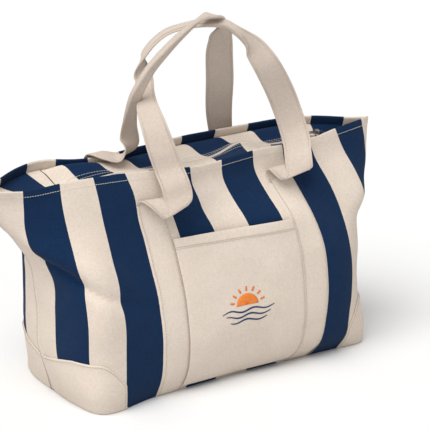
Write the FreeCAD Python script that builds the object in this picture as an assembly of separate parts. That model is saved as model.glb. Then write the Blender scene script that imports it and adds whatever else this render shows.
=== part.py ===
import FreeCAD, Part
import math
import os

# Canvas tote bag, standing open-shaped and full, in millimetres.
# Origin: centre of the footprint, on the floor. +X runs along the bag, the pocket faces -Y.

# Striped cloth
STRIPE = 44.0              # width of one stripe
BASE_STRIPES = 9           # stripes along the base
BASE_DEPTH = 176.0
BODY_HEIGHT = 268.0
RIM_LENGTH = 524.0
RIM_DEPTH = 112.0
CORNER_RUN = 24.0          # the base corner's chamfer along X
CORNER_SPREAD = 3.0        # how many times longer the same chamfer is at the rim
CORNER_SLOPE = 14.0 / 24.0 # chamfer's Y run over its X run
CANVAS = 2.4               # doubled canvas wall
HEM_HEIGHT = 12.0
HEM_THICK = 1.6            # what the folded hem adds inside

# Straps and handles
STRAP_WIDTH = 34.0
STRAP_THICK = 1.6
STRAP_INSET_STRIPES = 2.5  # outer strap edge, in stripes from the middle
HANDLE_TOP = 430.0
HANDLE_THICK = 3.0
HANDLE_GRIP = 22.0         # width of the folded grip at the top
HANDLE_LEAN_GAP = 12.0     # between the two handles at the top
HANDLE_ROOT_DROP = 40.0    # hinge line below the rim
HANDLE_STANDOFF = 3.4      # hinge line outside the panel
HANDLE_RISE = 46.0         # straight root, parallel to the panel

# Pocket and patches
POCKET_HEIGHT = 185.0
POCKET_ROOM = 11.0         # space inside the pocket
POCKET_WALL = 1.6
PATCH_HEIGHT = 62.0
PATCH_FRONT_HEIGHT = 36.0
PATCH_THICK = 1.2

# Closure and zip
CLOSURE_DROP = 20.0        # closure level below the rim
CLOSURE_THICK = 1.6
CLOSURE_HALF = 178.0       # half length of the opening panels
ZIP_GAP = 0.4              # between the two coils
COIL_WIDTH = 2.4
COIL_HEIGHT = 2.2
TAPE_THICK = 1.0
TAPE_UNDER = 10.0          # tape under the closure panel
TAPE_SHOWN = 4.0
SLIDER_LENGTH = 13.0
SLIDER_WIDTH = 9.0
SLIDER_THICK = 2.0
PULL_LENGTH = 30.0
PULL_WIDTH = 6.0
PULL_THICK = 1.4
PULL_PIN = 0.8             # radius of the slider's cross pin
PULL_EYE_WALL = 0.8
PIN_CLEAR = 0.1            # running clearance of the pull's eye
SLIDER_PARK = 8.0          # slider's middle past the opening panels' end

# Inside seams
BINDING_WIDTH = 12.0
BINDING_THICK = 1.2

CLEAR = 0.3                # between pieces that move past each other
V = FreeCAD.Vector


# ---- the tapered bag shape ----

def half_spans(z):
    """Half length, half depth and chamfer run of the bag's outer section at height z."""
    t = z / BODY_HEIGHT
    half_x = BASE_STRIPES * STRIPE / 2 * (1 - t) + RIM_LENGTH / 2 * t
    half_y = BASE_DEPTH / 2 * (1 - t) + RIM_DEPTH / 2 * t
    run = CORNER_RUN * (1 - t) + CORNER_RUN * CORNER_SPREAD * t
    return half_x, half_y, run


def offset_spans(z, grow):
    """The section with every wall moved outwards by grow, measured square to the wall."""
    half_x, half_y, run = half_spans(z)
    base_x, base_y, base_run = half_spans(0)
    rim_x, rim_y, rim_run = half_spans(BODY_HEIGHT)
    end_tilt = (rim_x - base_x) / BODY_HEIGHT
    side_tilt = (rim_y - base_y) / BODY_HEIGHT
    length = math.hypot(1, CORNER_SLOPE)
    nx, ny = CORNER_SLOPE / length, 1 / length
    reach = lambda x, y, r: nx * x + ny * (y - CORNER_SLOPE * r)
    corner_tilt = (reach(rim_x, rim_y, rim_run) - reach(base_x, base_y, base_run)) / BODY_HEIGHT
    corner = reach(half_x, half_y, run) + grow * math.hypot(1, corner_tilt)
    out_x = half_x + grow * math.hypot(1, end_tilt)
    out_y = half_y + grow * math.hypot(1, side_tilt)
    return out_x, out_y, (corner - nx * out_x) / ny, (corner - ny * out_y) / nx


def section(z, grow):
    """The eight corners of the bag at height z, anticlockwise from the front left."""
    x, y, end_y, side_x = offset_spans(z, grow)
    return [V(-side_x, -y, z), V(side_x, -y, z), V(x, -end_y, z), V(x, end_y, z),
            V(side_x, y, z), V(-side_x, y, z), V(-x, end_y, z), V(-x, -end_y, z)]


def face(points):
    return Part.Face(Part.makePolygon(points + [points[0]]))


def hull(low, high):
    """A solid between two outlines with the same number of corners."""
    count = len(low)
    sides = [face([low[i], low[(i + 1) % count], high[(i + 1) % count], high[i]])
             for i in range(count)]
    shell = Part.makeShell(sides + [face(low), face(high)])
    solid = Part.makeSolid(shell)
    if solid.Volume < 0:
        solid.reverse()
    return solid


def frustum(z_low, z_high, grow):
    return hull(section(z_low, grow), section(z_high, grow))


def wall(z_low, z_high, inner, outer):
    """A ring of cloth round the bag between two offsets from its outer face."""
    return frustum(z_low, z_high, outer).cut(frustum(z_low - 1, z_high + 1, inner))


def block(x0, x1, y0, y1, z0, z1):
    return Part.makeBox(x1 - x0, y1 - y0, z1 - z0, V(x0, y0, z0))


def half_space(side):
    """Everything in front of (side -1) or behind (side 1) the side seams."""
    size = RIM_LENGTH + BASE_DEPTH
    low, high = (-size, 0) if side < 0 else (0, size)
    return block(-size, size, low, high, -size, 2 * size)


# ---- the front face's own frame: across, up the slope, and out of the cloth ----

SLOPE = math.atan2((BASE_DEPTH - RIM_DEPTH) / 2, BODY_HEIGHT)
FACE_HEIGHT = BODY_HEIGHT / math.cos(SLOPE)


def on_face(x, up, out):
    """A point across, up and out of the front face."""
    y = -BASE_DEPTH / 2 + up * math.sin(SLOPE) - out * math.cos(SLOPE)
    return V(x, y, up * math.cos(SLOPE) + out * math.sin(SLOPE))


def slab(outline, out_low, out_high):
    """A flat piece on the front face from (x, up) points, between two heights off the cloth."""
    low = [on_face(x, up, out_low) for x, up in outline]
    high = [on_face(x, up, out_high) for x, up in outline]
    return hull(low, high)


def to_side(shape, side):
    """The same piece on the front (-1) or, turned about Z, on the back (1)."""
    turned = shape.copy()
    if side > 0:
        turned.rotate(V(0, 0, 0), V(0, 0, 1), 180)
    return turned


def save(shape, name):
    solids = shape.Solids
    print(name, len(solids), "solid(s), valid", shape.isValid(),
          "volume %.1f cm3" % (shape.Volume / 1000))
    solid = solids[0] if len(solids) == 1 else Part.makeCompound(solids)
    solid.exportStep("parts/" + name + ".step")


# ---- body ----

def panel(side):
    cloth = wall(0, BODY_HEIGHT, -CANVAS, 0)
    hem = wall(BODY_HEIGHT - HEM_HEIGHT, BODY_HEIGHT, -CANVAS - HEM_THICK, -CANVAS / 2)
    return cloth.fuse(hem).removeSplitter().common(half_space(side))


def base():
    return frustum(0, CANVAS, -CANVAS)


def side_binding(side):
    low, high = CANVAS + BINDING_WIDTH, BODY_HEIGHT - CLOSURE_DROP - 2 * CLOSURE_THICK
    tape = wall(low, high, -CANVAS - BINDING_THICK, -CANVAS)
    x0, x1 = (-RIM_LENGTH, 0) if side < 0 else (0, RIM_LENGTH)
    return tape.common(block(x0, x1, -BINDING_WIDTH / 2, BINDING_WIDTH / 2, 0, BODY_HEIGHT))


def base_binding():
    return wall(CANVAS, CANVAS + BINDING_WIDTH - CLEAR, -CANVAS - BINDING_THICK, -CANVAS)


# ---- straps, pocket and patches ----

STRAP_OUTER = STRAP_INSET_STRIPES * STRIPE
STRAP_INNER = STRAP_OUTER - STRAP_WIDTH
HINGE_UP = FACE_HEIGHT - HANDLE_ROOT_DROP


def sewn_strap(sign):
    top = HINGE_UP - HANDLE_THICK / 2 - 2 * CLEAR
    xs = sorted((sign * STRAP_INNER, sign * STRAP_OUTER))
    return slab([(xs[0], 0.6), (xs[1], 0.6), (xs[1], top), (xs[0], top)], 0, STRAP_THICK)


def pocket():
    x_out = STRAP_INNER - CLEAR / 2
    x_in = x_out - POCKET_WALL
    out = POCKET_ROOM + POCKET_WALL
    foot = 4.0
    shell = slab([(-x_out, foot), (x_out, foot), (x_out, POCKET_HEIGHT), (-x_out, POCKET_HEIGHT)], 0, out)
    room = slab([(-x_in, foot + POCKET_WALL), (x_in, foot + POCKET_WALL),
                 (x_in, POCKET_HEIGHT + 1), (-x_in, POCKET_HEIGHT + 1)], -1, POCKET_ROOM)
    return shell.cut(room)


def corner_patch(sign):
    """Reinforcement from the third stripe edge round the corner to the side seam, rounded in front."""
    inner_edge = (BASE_STRIPES / 2 - 1) * STRIPE
    band = wall(0, PATCH_HEIGHT, 0, PATCH_THICK).common(half_space(-1))
    x0, x1 = sorted((sign * inner_edge, sign * RIM_LENGTH))
    band = band.common(block(x0, x1, -BASE_DEPTH, -CLEAR / 2, -1, PATCH_HEIGHT + 1))
    drop = PATCH_HEIGHT - PATCH_FRONT_HEIGHT
    cut_line = [V(sign * inner_edge, 0, PATCH_FRONT_HEIGHT),
                V(sign * (inner_edge + drop), 0, PATCH_HEIGHT + 1),
                V(sign * inner_edge, 0, PATCH_HEIGHT + 1)]
    notch = face(cut_line).extrude(V(0, -BASE_DEPTH, 0))
    return band.cut(notch)


# ---- handles ----

HANDLE_LEG = (STRAP_INNER + STRAP_OUTER) / 2


def handle():
    """The front handle: two straight roots, then a leaning arch that narrows to a folded grip."""
    root_top = on_face(0, HINGE_UP + HANDLE_RISE, HANDLE_STANDOFF)
    peak_y = -(HANDLE_LEAN_GAP + HANDLE_THICK) / 2
    lean = math.atan2(peak_y - root_top.y, HANDLE_TOP - root_top.z)
    rise = math.hypot(peak_y - root_top.y, HANDLE_TOP - root_top.z) - HANDLE_THICK / 2
    along = V(0, math.sin(lean), math.cos(lean))
    out = V(0, -math.cos(lean), math.sin(lean))
    straight = rise * 0.3
    steps = 12

    def arch(half_width, top):
        points = [(half_width, 0), (half_width, straight)]
        for i in range(1, steps):
            angle = math.pi * i / steps
            points.append((half_width * math.cos(angle), straight + (top - straight) * math.sin(angle)))
        return points + [(-half_width, straight), (-half_width, 0)]

    def place(x, up, off):
        return root_top + V(x, 0, 0) + along * up + out * off

    outline = arch(STRAP_OUTER, rise) + arch(STRAP_INNER, rise - HANDLE_GRIP)[::-1]
    low = face([place(x, up, -HANDLE_THICK / 2) for x, up in outline])
    loop = low.extrude(out * HANDLE_THICK)
    for sign in (-1, 1):
        xs = sorted((sign * STRAP_INNER, sign * STRAP_OUTER))
        half = HANDLE_THICK / 2
        root = slab([(xs[0], HINGE_UP), (xs[1], HINGE_UP),
                     (xs[1], HINGE_UP + HANDLE_RISE), (xs[0], HINGE_UP + HANDLE_RISE)],
                    HANDLE_STANDOFF - half, HANDLE_STANDOFF + half)
        knee = Part.makeCylinder(half, xs[1] - xs[0], root_top + V(xs[0], 0, 0), V(1, 0, 0))
        roll = Part.makeCylinder(half, xs[1] - xs[0], on_face(xs[0], HINGE_UP, HANDLE_STANDOFF),
                                 V(1, 0, 0))
        loop = loop.fuse(root).fuse(knee).fuse(roll)
    return loop.removeSplitter()


# ---- closure and zip ----

CLOSURE_Z = BODY_HEIGHT - CLOSURE_DROP
CLOSURE_INNER_Y = offset_spans(CLOSURE_Z, -CANVAS)[1]
CLOSURE_HINGE_Y = CLOSURE_INNER_Y - CLEAR - CLOSURE_THICK / 2
COIL_Y = ZIP_GAP / 2
TAPE_Y = COIL_Y + COIL_WIDTH
CLOSURE_Y = TAPE_Y + TAPE_SHOWN


def closure():
    half = CLOSURE_THICK / 2
    plate = block(-CLOSURE_HALF, CLOSURE_HALF, -CLOSURE_HINGE_Y, -CLOSURE_Y,
                  CLOSURE_Z - half, CLOSURE_Z + half)
    roll = Part.makeCylinder(half, 2 * CLOSURE_HALF, V(-CLOSURE_HALF, -CLOSURE_HINGE_Y, CLOSURE_Z),
                             V(1, 0, 0))
    return plate.fuse(roll).removeSplitter()


def zip_tape():
    top = CLOSURE_Z - CLOSURE_THICK / 2
    return block(-CLOSURE_HALF, CLOSURE_HALF, -CLOSURE_Y - TAPE_UNDER, -TAPE_Y, top - TAPE_THICK, top)


def zip_teeth():
    middle = CLOSURE_Z - (CLOSURE_THICK + TAPE_THICK) / 2
    return block(-CLOSURE_HALF, CLOSURE_HALF, -TAPE_Y, -COIL_Y,
                 middle - COIL_HEIGHT / 2, middle + COIL_HEIGHT / 2)


def closure_end(sign):
    """The fixed end of the closure, sewn into the bag's end."""
    half = CLOSURE_THICK / 2
    plate = frustum(CLOSURE_Z - half, CLOSURE_Z + half, -CANVAS)
    x0, x1 = sorted((sign * (CLOSURE_HALF + CLEAR), sign * RIM_LENGTH))
    return plate.common(block(x0, x1, -BASE_DEPTH, BASE_DEPTH, 0, BODY_HEIGHT))


SLIDER_X = CLOSURE_HALF + SLIDER_PARK
SLIDER_Z = CLOSURE_Z + CLOSURE_THICK / 2 + CLEAR
PULL_EYE = PULL_PIN + PIN_CLEAR + PULL_EYE_WALL
PULL_Z = SLIDER_Z + SLIDER_THICK + CLEAR + PULL_EYE


def zip_slider():
    """Slider plate with rounded ends and a bridge that holds the pull."""
    plate = block(-SLIDER_LENGTH / 2, SLIDER_LENGTH / 2, -SLIDER_WIDTH / 2, SLIDER_WIDTH / 2,
                  0, SLIDER_THICK)
    plate = plate.makeFillet(SLIDER_WIDTH / 3, [e for e in plate.Edges if abs(e.tangentAt(0).z) > 0.9])
    post = block(-3 * PULL_PIN, 3 * PULL_PIN, 0, SLIDER_WIDTH / 2 - PULL_WIDTH / 2 - CLEAR,
                 SLIDER_THICK, PULL_Z - SLIDER_Z + 2 * PULL_PIN)
    for y in (-SLIDER_WIDTH / 2, PULL_WIDTH / 2 + CLEAR):
        ear = post.copy()
        ear.translate(V(0, y, 0))
        plate = plate.fuse(ear)
    pin = Part.makeCylinder(PULL_PIN, SLIDER_WIDTH, V(0, -SLIDER_WIDTH / 2, PULL_Z - SLIDER_Z), V(0, 1, 0))
    slider = plate.fuse(pin).removeSplitter()
    slider.translate(V(SLIDER_X, 0, SLIDER_Z))
    return slider


def zip_pull():
    """Pull tab with an eye round the slider's pin, lying back over the closed zip."""
    eye = Part.makeCylinder(PULL_EYE, PULL_WIDTH, V(0, -PULL_WIDTH / 2, 0), V(0, 1, 0))
    tab = block(-PULL_LENGTH, 0, -PULL_WIDTH / 2, PULL_WIDTH / 2, -PULL_THICK / 2, PULL_THICK / 2)
    tab = tab.makeFillet(PULL_WIDTH / 2 - 0.1, [e for e in tab.Edges
                                                if abs(e.tangentAt(0).z) > 0.9
                                                and e.CenterOfMass.x < -PULL_LENGTH / 2])
    bore = Part.makeCylinder(PULL_PIN + PIN_CLEAR, PULL_WIDTH, V(0, -PULL_WIDTH / 2, 0), V(0, 1, 0))
    pull = tab.fuse(eye).cut(bore).removeSplitter()
    pull.translate(V(SLIDER_X, 0, PULL_Z))
    return pull


def zip_stop(sign):
    """Stitched stop on the closure's fixed end."""
    middle = sign * (SLIDER_X + SLIDER_LENGTH / 2 + 3)
    bottom = CLOSURE_Z + CLOSURE_THICK / 2
    return block(middle - 1, middle + 1, -COIL_WIDTH, COIL_WIDTH, bottom, bottom + 1.2)


# ---- build ----

os.makedirs("parts", exist_ok=True)
save(base(), "base_panel")
save(base_binding(), "base_seam_binding")
for sign, hand in ((-1, "left"), (1, "right")):
    save(side_binding(sign), "side_seam_binding_" + hand)
    save(closure_end(sign), "closure_end_" + hand)
    save(zip_stop(sign), "zip_stop_" + hand)
for side, name in ((-1, "front"), (1, "back")):
    save(panel(side), name + "_panel")
    save(to_side(handle(), side), name + "_handle")
    save(to_side(closure(), side), name + "_closure")
    save(to_side(zip_tape(), side), "zip_tape_" + name)
    save(to_side(zip_teeth(), side), "zip_teeth_" + name)
    for sign, hand in ((-1, "left"), (1, "right")):
        own = sign * -side  # turning about Z swaps left and right
        save(to_side(sewn_strap(own), side), name + "_strap_" + hand)
        save(to_side(corner_patch(own), side), "corner_patch_" + name + "_" + hand)
save(pocket(), "front_pocket")
save(zip_slider(), "zip_slider")
save(zip_pull(), "zip_pull")
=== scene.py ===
import math

import bpy
import numpy as np
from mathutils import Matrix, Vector, noise


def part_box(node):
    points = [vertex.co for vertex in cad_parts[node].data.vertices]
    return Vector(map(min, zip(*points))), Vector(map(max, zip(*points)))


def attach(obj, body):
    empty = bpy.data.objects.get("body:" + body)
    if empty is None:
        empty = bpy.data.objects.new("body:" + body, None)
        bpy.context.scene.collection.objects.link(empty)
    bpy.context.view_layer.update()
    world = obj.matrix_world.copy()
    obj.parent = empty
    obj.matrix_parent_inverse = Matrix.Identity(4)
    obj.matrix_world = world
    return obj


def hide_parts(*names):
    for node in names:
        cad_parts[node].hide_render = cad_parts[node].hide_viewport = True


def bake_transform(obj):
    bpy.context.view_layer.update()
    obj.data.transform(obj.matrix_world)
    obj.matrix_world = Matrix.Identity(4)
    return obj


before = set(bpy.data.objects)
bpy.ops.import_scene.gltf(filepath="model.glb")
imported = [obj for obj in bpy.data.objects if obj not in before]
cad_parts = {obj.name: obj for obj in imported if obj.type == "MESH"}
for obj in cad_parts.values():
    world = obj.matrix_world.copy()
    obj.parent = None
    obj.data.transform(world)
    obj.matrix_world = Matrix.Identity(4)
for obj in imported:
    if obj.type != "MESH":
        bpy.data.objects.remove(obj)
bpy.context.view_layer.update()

MM = 0.001
STRIPE = 44 * MM            # width of one stripe of the cloth
STRIPES = 13                # stripes across each panel, from side seam to side seam
PANEL_HEIGHT = 280 * MM     # cloth height from base seam to rim
CANVAS = 1.6 * MM
FLOOR_GAP = 0.8 * MM         # the cloth's middle stands half its thickness above the floor
STRAP_WIDTH = 34 * MM
STRAP_OUTER = 2.5           # outer strap edge, in stripes from the panel's middle
STRAP_INNER = STRAP_OUTER - STRAP_WIDTH / STRIPE
# Where each sewn strap ends and its handle comes free, as a share of the panel's height
STRAP_TOP = {("front", "left"): 0.855, ("front", "right"): 0.875,
             ("back", "left"): 0.83, ("back", "right"): 0.83}
POCKET_TOP = 0.675
HEM = 9 * MM                # hem stitch below the rim
UV_PER_M = 10               # cloth coordinates are in tenths of a metre
COLUMNS = 8                 # mesh columns in one stripe
ROWS = 60


# ---------------------------------------------------------------- small helpers

def spline(knots, values, at, period=None):
    """Smooth curve through values at knots (any shape after the first axis), read at the points at."""
    knots = np.asarray(knots, float)
    values = np.asarray(values, float)
    if period:
        knots = np.concatenate([knots[-2:] - period, knots, knots[:3] + period])
        values = np.concatenate([values[-2:], values, values[:3]])
    steps = np.diff(knots)
    shape = (-1,) + (1,) * (values.ndim - 1)
    slopes = np.diff(values, axis=0) / steps.reshape(shape)
    tangents = np.empty_like(values)
    weight = (steps[:-1] / (steps[:-1] + steps[1:])).reshape(shape)
    tangents[1:-1] = slopes[:-1] * (1 - weight) + slopes[1:] * weight
    tangents[0], tangents[-1] = slopes[0], slopes[-1]
    at = np.asarray(at, float)
    i = np.clip(np.searchsorted(knots, at, side="right") - 1, 0, len(steps) - 1)
    h = steps[i].reshape(shape)
    t = ((at - knots[i]) / steps[i]).reshape(shape)
    a, b, ta, tb = values[i], values[i + 1], tangents[i], tangents[i + 1]
    return (a * (1 + 2 * t) * (1 - t) ** 2 + ta * h * t * (1 - t) ** 2
            + b * t * t * (3 - 2 * t) + tb * h * t * t * (t - 1))


def unit(vectors):
    return vectors / np.maximum(np.linalg.norm(vectors, axis=-1, keepdims=True), 1e-9)


def mesh_object(name, points, faces, uvs=None, material=None):
    """A mesh piece from points, faces and one UV pair per point (in tenths of a metre of cloth)."""
    mesh = bpy.data.meshes.new(name)
    mesh.from_pydata([tuple(p) for p in np.asarray(points, float).reshape(-1, 3)], [], faces)
    if uvs is not None:
        layer = mesh.uv_layers.new(name="cloth")
        flat = np.asarray(uvs, float).reshape(-1, 2)[[v for f in mesh.polygons for v in f.vertices]]
        layer.data.foreach_set("uv", flat.ravel())
    mesh.polygons.foreach_set("use_smooth", [True] * len(mesh.polygons))
    mesh.update()
    piece = bpy.data.objects.new(name, mesh)
    bpy.context.scene.collection.objects.link(piece)
    if material:
        mesh.materials.append(material)
    return piece


def grid_faces(rows, columns, closed=False, flip=False):
    """Quads of a grid stored row by row, turned over if flip is true."""
    last = columns if closed else columns - 1
    faces = [(r * columns + c, r * columns + (c + 1) % columns,
              (r + 1) * columns + (c + 1) % columns, (r + 1) * columns + c)
             for r in range(rows - 1) for c in range(last)]
    return [f[::-1] for f in faces] if flip else faces


def cloth_uv(u, v):
    """Cloth coordinates of a grid: u stripes along it and v, a share of the panel's height, up it."""
    u, v = np.broadcast_arrays(np.asarray(u)[None] * STRIPE * UV_PER_M,
                               (np.asarray(v) * PANEL_HEIGHT * UV_PER_M)[:, None])
    return np.stack([u, v], axis=-1).reshape(-1, 2)


def thicken(piece, thickness, offset=-1.0, rounded=True):
    """Turns a sheet into a closed cloth with rounded edges."""
    solid = piece.modifiers.new("thickness", "SOLIDIFY")
    solid.thickness, solid.offset = thickness, offset
    solid.use_even_offset = False
    if rounded:
        bevel = piece.modifiers.new("edge", "BEVEL")
        bevel.width, bevel.segments, bevel.limit_method = thickness * 0.35, 2, "ANGLE"
    apply_modifiers(piece)


def apply_modifiers(piece):
    bpy.context.view_layer.update()
    evaluated = piece.evaluated_get(bpy.context.evaluated_depsgraph_get())
    mesh = bpy.data.meshes.new_from_object(evaluated, preserve_all_data_layers=True,
                                           depsgraph=bpy.context.evaluated_depsgraph_get())
    piece.modifiers.clear()
    piece.data = mesh


def smooth_once(piece):
    smoother = piece.modifiers.new("smooth", "SUBSURF")
    smoother.levels = smoother.render_levels = 1
    apply_modifiers(piece)


# ---------------------------------------------------------------- the slumped bag
# Plan of the cloth at nine heights, in mm. Each row runs once round the bag: from the left side seam
# along the front to the right side seam, and back along the rear. AROUND gives the columns' places in
# stripes from the left seam, and ALONG the rows' places up the cloth.

AROUND = (0, 1, 2, 4, 6.5, 8.25, 10, 11, 12, 13, 14, 15, 17, 19.5, 22, 24, 25)
ALONG = (0, 0.07, 0.21, 0.39, 0.575, 0.69, 0.79, 0.885, 1)
HEIGHTS = (0.8, 20, 60, 110, 160, 190, 215, 240, 266)
PLAN = (
    ((-200, 0), (-200, -46), (-192, -88), (-110, -84), (0, -80), (76, -82), (154, -86), (192, -86),
     (198, -46), (198, 0), (198, 46), (190, 86), (110, 86), (0, 84), (-110, 86), (-184, 84), (-198, 46)),
    ((-207, -4), (-209, -44), (-198, -90), (-110, -94), (2, -94), (82, -99), (157, -100), (195, -86),
     (203, -42), (203, 0), (204, 44), (196, 91), (110, 93), (0, 94), (-110, 93), (-183, 85), (-203, 42)),
    ((-214, 5), (-217, -38), (-200, -84), (-109, -99), (5, -104), (86, -109), (160, -105), (192, -78),
     (203, -36), (205, 2), (206, 44), (197, 88), (110, 97), (0, 98), (-110, 97), (-188, 84), (-206, 48)),
    ((-214, 9), (-216, -34), (-200, -83), (-108, -92), (5, -100), (87, -106), (163, -103), (191, -69),
     (204, -28), (206, 4), (206, 44), (196, 82), (110, 94), (0, 97), (-111, 94), (-190, 82), (-207, 50)),
    ((-217, 20), (-217, -29), (-201, -71), (-110, -75), (4, -89), (84, -98), (161, -96), (198, -68),
     (212, -28), (218, 2), (214, 40), (196, 76), (108, 84), (-4, 88), (-113, 84), (-190, 80), (-207, 54)),
    ((-234, 22), (-234, -22), (-203, -58), (-112, -64), (0, -78), (78, -88), (157, -82), (203, -72),
     (221, -35), (230, 0), (222, 32), (195, 62), (104, 72), (-8, 76), (-117, 70), (-193, 72), (-221, 50)),
    ((-257, 14), (-243, -18), (-204, -47), (-116, -59), (-8, -61), (72, -68), (151, -67), (198, -61),
     (226, -44), (239, -6), (224, 20), (194, 48), (102, 58), (-12, 62), (-121, 56), (-200, 60), (-236, 42)),
    ((-270, 10), (-245, -19), (-206, -40), (-119, -56), (-15, -52), (65, -52), (144, -51), (187, -50),
     (224, -46), (246, -12), (224, 6), (192, 32), (102, 46), (-15, 48), (-126, 40), (-206, 52), (-250, 38)),
    ((-277, 6), (-247, -22), (-206, -34), (-126, -47), (-18, -52), (62, -50), (139, -43), (176, -47),
     (219, -44), (249, -18), (220, -6), (189, 20), (104, 36), (-16, 38), (-131, 30), (-205, 44), (-250, 28)),
)
# How far the rim stands above or below its row's height, column by column.
RIM_RISE = (-4, -3, 3, 4, -4, 0, -4, 4, 8, 0, 2, 2, 2, 2, 3, 6, 1)


def bag_grid():
    """Points of the whole cloth: ROWS + 1 rows up the bag, COLUMNS for each of the 26 stripes."""
    cage = np.zeros((len(ALONG), len(AROUND), 3))
    for r, row in enumerate(PLAN):
        cage[r, :, :2] = row
        cage[r, :, 2] = HEIGHTS[r]
    cage[-1, :, 2] += RIM_RISE
    cage[-2, :, 2] += np.array(RIM_RISE) * 0.6
    s = np.arange(2 * STRIPES * COLUMNS) / COLUMNS
    rows = spline(AROUND, cage.transpose(1, 0, 2), s, period=2 * STRIPES)
    grid = spline(ALONG, rows.transpose(1, 0, 2), np.linspace(0, 1, ROWS + 1)) * MM
    grid[:, :, 2] = np.maximum(grid[:, :, 2], FLOOR_GAP)
    return grid


# Soft folds of the standing bag: middle (stripes from the left seam, share of height), the two spreads,
# how far the fold runs aslant, and its depth in mm (outwards is positive).
FOLDS = (
    (2.0, 0.555, 1.3, 0.028, -0.085, -7),
    (1.8, 0.660, 1.4, 0.050, -0.080, 5),
    (0.4, 0.930, 0.9, 0.050, 0.0, -3),
    (2.6, 0.45, 0.35, 0.20, 0.0, 3),
    (5.5, 0.80, 1.1, 0.05, 0.06, 4),
    (9.7, 0.60, 0.5, 0.16, 0.0, -4),
    (11.2, 0.42, 0.6, 0.10, -0.03, 5),
    (11.6, 0.62, 0.8, 0.05, 0.05, -5),
    (12.3, 0.30, 0.6, 0.06, 0.04, -4),
    (3.1, 0.86, 0.5, 0.08, 0.0, -3),
    (17.0, 0.55, 1.6, 0.06, 0.05, -4),
    (22.0, 0.40, 1.4, 0.07, -0.05, 4),
    (19.5, 0.75, 1.5, 0.05, 0.03, 3),
    (14.5, 0.60, 1.0, 0.05, 0.06, -5),
    (24.6, 0.62, 1.0, 0.04, -0.05, -5),
)


def normals_of(grid):
    across = np.roll(grid, -1, axis=1) - np.roll(grid, 1, axis=1)
    up = np.gradient(grid, axis=0)
    return unit(np.cross(across, up))


def add_folds(grid):
    s = (np.arange(grid.shape[1]) / COLUMNS)[None, :]
    v = np.linspace(0, 1, grid.shape[0])[:, None]
    push = np.zeros(grid.shape[:2])
    for s0, v0, wide, tall, aslant, depth in FOLDS:
        ds = (s - s0 + STRIPES) % (2 * STRIPES) - STRIPES
        push += depth * MM * np.exp(-(ds / wide) ** 2 - ((v - v0 - aslant * ds) / tall) ** 2)
    for r in range(grid.shape[0]):
        for c in range(grid.shape[1]):
            p = Vector(grid[r, c])
            ripple = noise.noise(p * 14) * 1.6 + noise.noise(p * 34 + Vector((3, 1, 7))) * 0.7
            push[r, c] += ripple * MM * min(1, v[r, 0] * 8)
    return grid + normals_of(grid) * push[:, :, None]


class Cloth:
    """The bag's cloth after folding: gives points and outward directions anywhere on it."""

    def __init__(self, grid):
        self.grid = grid
        self.normals = normals_of(grid)

    def read(self, table, s, v):
        s = np.asarray(s, float) % (2 * STRIPES) * COLUMNS
        v = np.clip(np.asarray(v, float), 0, 1) * ROWS
        count = self.grid.shape[1]
        c, r = np.floor(s).astype(int), np.minimum(np.floor(v).astype(int), ROWS - 1)
        fs, fv = (s - c)[..., None], (v - r)[..., None]
        c0, c1 = c % count, (c + 1) % count
        low = table[r, c0] * (1 - fs) + table[r, c1] * fs
        high = table[r + 1, c0] * (1 - fs) + table[r + 1, c1] * fs
        return low * (1 - fv) + high * fv

    def points(self, s, v, out=0.0):
        s, v = np.broadcast_arrays(np.asarray(s, float), np.asarray(v, float))
        out = np.broadcast_to(np.asarray(out, float), s.shape)[..., None]
        return self.read(self.grid, s, v) + unit(self.read(self.normals, s, v)) * out


def around(side, u):
    """Place round the bag, in stripes from the left seam, u stripes right of a panel's middle."""
    return u + STRIPES / 2 if side == "front" else 1.5 * STRIPES - u


def settle(grid, frames=24):
    """Lets the cloth find its own wrinkles: it is cut as a flat tube and held softly to the folds above."""
    rows, columns = grid.shape[:2]
    piece = mesh_object("settling_cloth", grid, grid_faces(rows, columns, closed=True))
    angle = np.arange(columns) * 2 * math.pi / columns
    radius = 2 * STRIPES * STRIPE / (2 * math.pi)
    piece.shape_key_add(name="standing")
    cut = piece.shape_key_add(name="cut")
    k = 0
    for r in range(rows):
        for a in angle:
            cut.data[k].co = (radius * math.cos(a), radius * math.sin(a), PANEL_HEIGHT * r / (rows - 1))
            k += 1
    held = piece.vertex_groups.new(name="held")
    for r in range(rows):
        up = r / (rows - 1)
        for c in range(columns):
            across = abs((c / COLUMNS) % STRIPES - STRIPES / 2)
            weight = 0.3
            if STRAP_INNER - 0.1 < across < STRAP_OUTER + 0.1:
                weight = 0.6
            elif across <= STRAP_INNER and up < POCKET_TOP:
                weight = 0.45
            weight = max(weight, 1 - up * 9, 0.65 * (1 - (1 - up) * 9))
            held.add([r * columns + c], weight, "REPLACE")
    modifier = piece.modifiers.new("cloth", "CLOTH")
    fabric = modifier.settings
    fabric.quality, fabric.mass, fabric.air_damping = 6, 0.25, 3
    fabric.tension_stiffness = fabric.compression_stiffness = 30
    fabric.shear_stiffness, fabric.bending_stiffness = 12, 3
    fabric.tension_damping = fabric.compression_damping = fabric.shear_damping = 12
    fabric.bending_damping = 2
    fabric.vertex_group_mass, fabric.pin_stiffness = "held", 12
    fabric.rest_shape_key = cut
    modifier.point_cache.frame_start, modifier.point_cache.frame_end = 1, frames
    scene = bpy.context.scene
    for frame_number in range(1, frames + 1):
        scene.frame_set(frame_number)
    mesh = piece.evaluated_get(bpy.context.evaluated_depsgraph_get()).to_mesh()
    settled = np.empty(rows * columns * 3)
    mesh.vertices.foreach_get("co", settled)
    scene.frame_set(1)
    bpy.data.objects.remove(piece)
    settled = settled.reshape(rows, columns, 3)
    settled[0] = grid[0]
    settled[:, :, 2] = np.maximum(settled[:, :, 2], FLOOR_GAP)
    return settled


grid = add_folds(bag_grid())
grid = settle(grid)
cloth = Cloth(grid)


# ---------------------------------------------------------------- materials

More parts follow.
